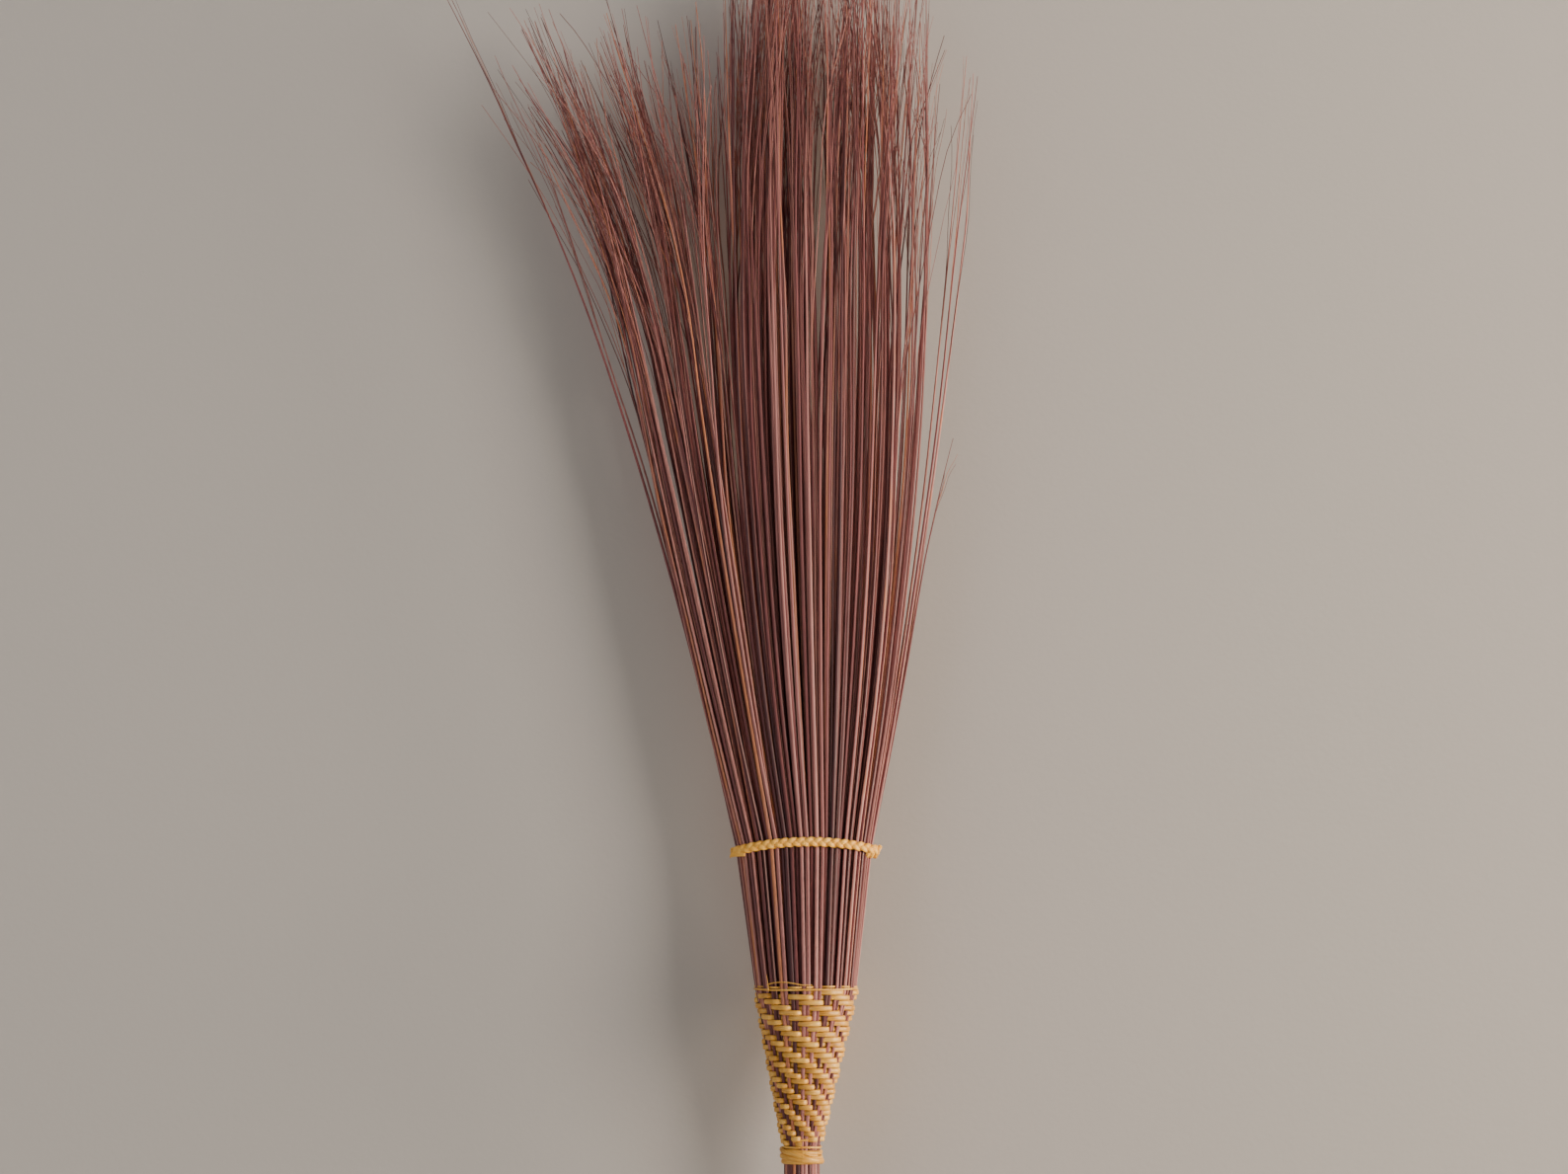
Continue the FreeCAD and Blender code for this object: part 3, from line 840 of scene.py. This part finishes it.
def loose_curl(top):
    """A curl of the lashing that lifts off the ribs, stands out and comes back to them."""
    path = []
    for k in range(CURL_STEPS + 1):
        t = k / CURL_STEPS
        # it is down again at four fifths of its length
        lift = CURL_LIFT * math.sin(math.pi * min(1, 1.25 * t)) + 0.4 * MM
        radius = LASHING_REACH + CURL_OUT * math.sin(math.pi * t)
        path.append((around(top + lift, CURL_START + CURL_ARC * t, radius), 0.8 - 0.3 * t, 0.0))
    return path


def split_end(top):
    """A thin end of the lashing that stands up beside the curl and tapers."""
    path = []
    for k in range(SPLIT_STEPS + 1):
        t = k / SPLIT_STEPS
        z = top - SPLIT_BELOW + SPLIT_LENGTH * t
        radius = LASHING_REACH + SPLIT_OUT + SPLIT_OUT * t
        path.append((around(z, SPLIT_ANGLE - 0.05 * t * t, radius), 1 - 0.6 * t, 0.0))
    return path


class BROOM_OT_cone_lashing(bpy.types.Operator):
    """Lash the cone's top edge with thin strand, leaving a loose curl and a split end"""

    bl_idname = "broom.cone_lashing"
    bl_label = "Cone top lashing"

    def execute(self, context):
        low, high = levels_of("cone_top_lashing")
        edge = wound_turn(low - 0.6 * MM, LASHING_REACH + 0.2 * MM, 0.004, 1.0, 0.15 * MM, 41, steps=90)
        profile = oval_profile("lashing_outline", 1.3 * MM, 0.8 * MM, sides=8)
        turns = [over_and_under(0.5 * (low + high)), edge, loose_curl(high)]
        piece = sweep_strands("lashing_turns", profile, turns)
        finish_piece(piece, split_cane(), "cane_binding", "cone_top_lashing")
        profile = oval_profile("split_end_outline", 0.9 * MM, 0.6 * MM, sides=6)
        piece = sweep_strands("lashing_split_end", profile, [split_end(high)], twist="MINIMUM")
        finish_piece(piece, split_cane(), "cane_binding")
        return {"FINISHED"}


TIE_LOW, TIE_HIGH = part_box("plaited_tie")
# The plait's centre line is an oval round the fan: its middle and its half widths, the levels of its
# ends and of its front and back, and how far its right end rises and its left end sinks.
TIE_MIDDLE_X = 0.5 * (TIE_LOW.x + TIE_HIGH.x) - 0.7 * MM
TIE_HALF_X = 0.5 * (TIE_HIGH.x - TIE_LOW.x) - 2.9 * MM
TIE_HALF_Y = 0.5 * (TIE_HIGH.y - TIE_LOW.y) - 2.2 * MM
TIE_ENDS_Z = TIE_LOW.z + 4.4 * MM
TIE_FRONT_Z = TIE_HIGH.z - 3.4 * MM
TIE_SKEW = 0.6 * MM
TIE_STEPS = 560
TIE_STRANDS = 3
# How far each strand swings from the centre line, in its own widths, and how deep next to how high.
PLAIT_SWING = 0.43
PLAIT_DEPTH = 0.6
# Outwards on the flat oval has only this share of the sideways part that it has on a circle.
TIE_FLATNESS = 0.35
# The knot near the right end: its first loop's middle, the step to the next one and half a loop's
# size.
KNOT_LOOPS = 3
LOOP_STEPS = 24
KNOT_PLACE = (-5.6 * MM, -6.0 * MM, -0.9 * MM)
KNOT_STEP = (2.9 * MM, 2.1 * MM)
LOOP_SIZE = (1.9 * MM, 2.6 * MM, 3.7 * MM)
# The two crossed ends at the left. Each has the side that it starts on, with 1 above and -1 below,
# and its droop in mm. Then how far they run in x and y, and how far up or down they start, in mm.
TAILS = ((1, 1.2), (-1, 4.6))
TAIL_LENGTH = (10 * MM, 11 * MM)
TAIL_CROSSING = 2.0
TAIL_STEPS = 12


def tie_line(turn):
    """The plait's centre line: an oval round the fan whose ends droop. Turn 0 is the front."""
    rise = math.cos(turn) ** 2
    skew = TIE_SKEW * math.sin(turn)
    return Vector((TIE_MIDDLE_X + TIE_HALF_X * math.sin(turn), -TIE_HALF_Y * math.cos(turn),
                   TIE_ENDS_Z + (TIE_FRONT_Z - TIE_ENDS_Z) * rise + skew))


def plait_strand(number, centre, stitch, swing):
    """One strand of the plait: it swings up and down and, twice as often, in and out."""
    length = sum((b - a).length for a, b in zip(centre, centre[1:]))
    periods = round(length / (TIE_STRANDS * stitch))
    path = []
    gone = 0.0
    for k, place in enumerate(centre):
        gone += (place - centre[k - 1]).length if k else 0.0
        phase = TAU * (periods * gone / length + number / TIE_STRANDS)
        turn = TAU * k / TIE_STEPS
        outward = Vector((math.sin(turn) * TIE_FLATNESS, -math.cos(turn), 0)).normalized()
        shift = outward * PLAIT_DEPTH * swing * math.sin(2 * phase)
        shift += Vector((0, 0, swing * math.sin(phase)))
        path.append((place + shift, 1.0, 0.0))
    return path


class BROOM_OT_tie(bpy.types.Operator):
    """Plait three strands round the fan, with crossed ends on the left and a knot on the right"""

    bl_idname = "broom.tie"
    bl_label = "Plaited tie"

    def execute(self, context):
        sizes = context.scene.broom_sizes
        centre = [tie_line(TAU * k / TIE_STEPS) for k in range(TIE_STEPS + 1)]
        swing = PLAIT_SWING * sizes.tie_strand
        paths = [plait_strand(n, centre, sizes.tie_stitch, swing) for n in range(TIE_STRANDS)]
        profile = oval_profile("plait_outline", sizes.tie_strand, 0.55 * sizes.tie_strand,
                               sides=9, boxiness=0.85)
        piece = sweep_strands("plaited_strands", profile, paths)
        finish_piece(piece, plaited_fibre(), "plaited_cord", "plaited_tie")
        self.add_knot(tie_line(TAU / 4))
        self.add_tails(tie_line(-TAU / 4))
        return {"FINISHED"}

    def add_knot(self, right):
        """The knot's turns round the plait, near the tie's right end."""
        loops = []
        for n in range(KNOT_LOOPS):
            loop = []
            for k in range(LOOP_STEPS + 1):
                turn = TAU * k / LOOP_STEPS
                x = KNOT_PLACE[0] + KNOT_STEP[0] * n + LOOP_SIZE[0] * math.sin(turn)
                y = KNOT_PLACE[1] + KNOT_STEP[1] * n - LOOP_SIZE[1] * math.cos(turn)
                z = LOOP_SIZE[2] * math.sin(turn) + KNOT_PLACE[2]
                loop.append((right + Vector((x, y, z)), 1.0, 0.0))
            loops.append(loop)
        profile = oval_profile("knot_outline", 3.1 * MM, 2.0 * MM, sides=8, boxiness=0.9)
        piece = sweep_strands("tie_knot", profile, loops, twist="MINIMUM")
        finish_piece(piece, plaited_fibre(), "plaited_cord")

    def add_tails(self, left):
        """The two crossed, drooping strands at the tie's left end."""
        tails = []
        for side, droop in TAILS:
            tail = []
            for k in range(TAIL_STEPS + 1):
                t = k / TAIL_STEPS
                x = TAIL_LENGTH[0] * (1 - t) ** 2 - 1.6 * MM
                y = -TAIL_LENGTH[1] * (1 - t) - 1 * MM
                z = (TAIL_CROSSING * side * (1 - 2 * t) - droop * t) * MM
                tail.append((left + Vector((x, y, z)), 1 - 0.3 * t, 0.0))
            tails.append(tail)
        profile = oval_profile("tail_outline", 2.8 * MM, 1.8 * MM, sides=8, boxiness=0.9)
        piece = sweep_strands("tie_tails", profile, tails)
        finish_piece(piece, plaited_fibre(), "plaited_cord")


# ------------------------------------------------------------------ stage

CAMERA_BACK = 1.263
CAMERA_SIDE = -0.012
CAMERA_HEIGHT = 0.284
CAMERA_PITCH = math.radians(11.4)
CAMERA_LENS = 41.3
CAMERA_SENSOR = 36
WALL_BEHIND = 0.047
WALL_SIZE = 8
# Each light's name, place, aim, size in metres, power in watts and colour.
LIGHTS = (
    ("window_light", (4.4, -3.1, 0.7), (0, 0, 0.4), 2.4, 345, "#fff0e2"),
    ("side_light", (2.9, -0.36, 0.3), (0, 0, 0.26), 0.8, 95, "#ffe6cc"),
    ("room_light", (-2.2, -2.0, 0.9), (-0.5, 0, 0.2), 2.0, 18, "#f0eef6"),
    ("back_light", (0.5, 2.5, 1.1), (0, 0, 0.5), 1.8, 48, "#fff4ea"),
)
ROOM_COLOUR = "#dfe2e4"
ROOM_STRENGTH = 0.25


def add_plane(name, size, place, turn, material):
    """A flat stage surface, with its place in its mesh."""
    bpy.ops.object.select_all(action="DESELECT")
    bpy.ops.mesh.primitive_plane_add(size=size, location=place, rotation=turn)
    plane = bpy.context.active_object
    plane.name = name
    bpy.ops.object.transform_apply(location=True, rotation=True, scale=True)
    plane.data.materials.append(material)
    return plane


def add_area_light(name, place, aim, size, power, colour):
    """A soft square light that faces its aim."""
    bpy.ops.object.light_add(type="AREA", location=place)
    light = bpy.context.active_object
    light.name = name
    light.rotation_euler = (Vector(aim) - Vector(place)).to_track_quat("-Z", "Y").to_euler()
    light.data.size = size
    light.data.energy = power
    light.data.color = linear(colour)[:3]
    return light


class BROOM_OT_stage(bpy.types.Operator):
    """Set up the plain wall and floor, the soft lights and the camera"""

    bl_idname = "broom.stage"
    bl_label = "Stage"

    def execute(self, context):
        colours = context.scene.broom_colours
        wall = painted_plaster("emulsion_wall", tuple(colours.wall), True)
        floor = painted_plaster("pale_matt_floor", tuple(colours.floor))
        add_plane("wall", WALL_SIZE, (0, WALL_BEHIND, WALL_SIZE / 2), (TAU / 4, 0, 0), wall)
        add_plane("floor", WALL_SIZE, (0, WALL_BEHIND - WALL_SIZE / 2, 0), (0, 0, 0), floor)
        for light in LIGHTS:
            add_area_light(*light)
        world = bpy.data.worlds.new("soft_room")
        world.use_nodes = True
        background = world.node_tree.nodes["Background"]
        background.inputs["Color"].default_value = linear(ROOM_COLOUR)
        background.inputs["Strength"].default_value = ROOM_STRENGTH
        context.scene.world = world
        bpy.ops.object.camera_add(location=(CAMERA_SIDE, -CAMERA_BACK, CAMERA_HEIGHT),
                                  rotation=(TAU / 4 + CAMERA_PITCH, 0, 0))
        camera = context.active_object
        camera.data.sensor_width = CAMERA_SENSOR
        camera.data.lens = CAMERA_LENS
        context.scene.camera = camera
        return {"FINISHED"}


class BROOM_PT_panel(bpy.types.Panel):
    """The broom's sizes and colours, and a button for each group of pieces"""

    bl_idname = "BROOM_PT_panel"
    bl_label = "Palm rib broom"
    bl_space_type = "VIEW_3D"
    bl_region_type = "UI"
    bl_category = "Broom"

    def draw(self, context):
        layout = self.layout
        for group in (context.scene.broom_sizes, context.scene.broom_colours):
            for name in group.bl_rna.properties.keys():
                if name not in ("rna_type", "name"):
                    layout.prop(group, name)
        for operator in OPERATORS:
            layout.operator(operator.bl_idname)


OPERATORS = (
    BROOM_OT_stage,
    BROOM_OT_ribs,
    BROOM_OT_woven_cone,
    BROOM_OT_cone_lashing,
    BROOM_OT_collar,
    BROOM_OT_butt_binding,
    BROOM_OT_tie,
)
CLASSES = (BroomSizes, BroomColours, *OPERATORS, BROOM_PT_panel)


def register():
    for cls in CLASSES:
        bpy.utils.register_class(cls)
    bpy.types.Scene.broom_sizes = PointerProperty(type=BroomSizes)
    bpy.types.Scene.broom_colours = PointerProperty(type=BroomColours)


def unregister():
    del bpy.types.Scene.broom_colours
    del bpy.types.Scene.broom_sizes
    for cls in reversed(CLASSES):
        bpy.utils.unregister_class(cls)


def main():
    register()
    for operator in OPERATORS:
        group, name = operator.bl_idname.split(".")
        getattr(getattr(bpy.ops, group), name)()


if __name__ == "__main__":
    main()
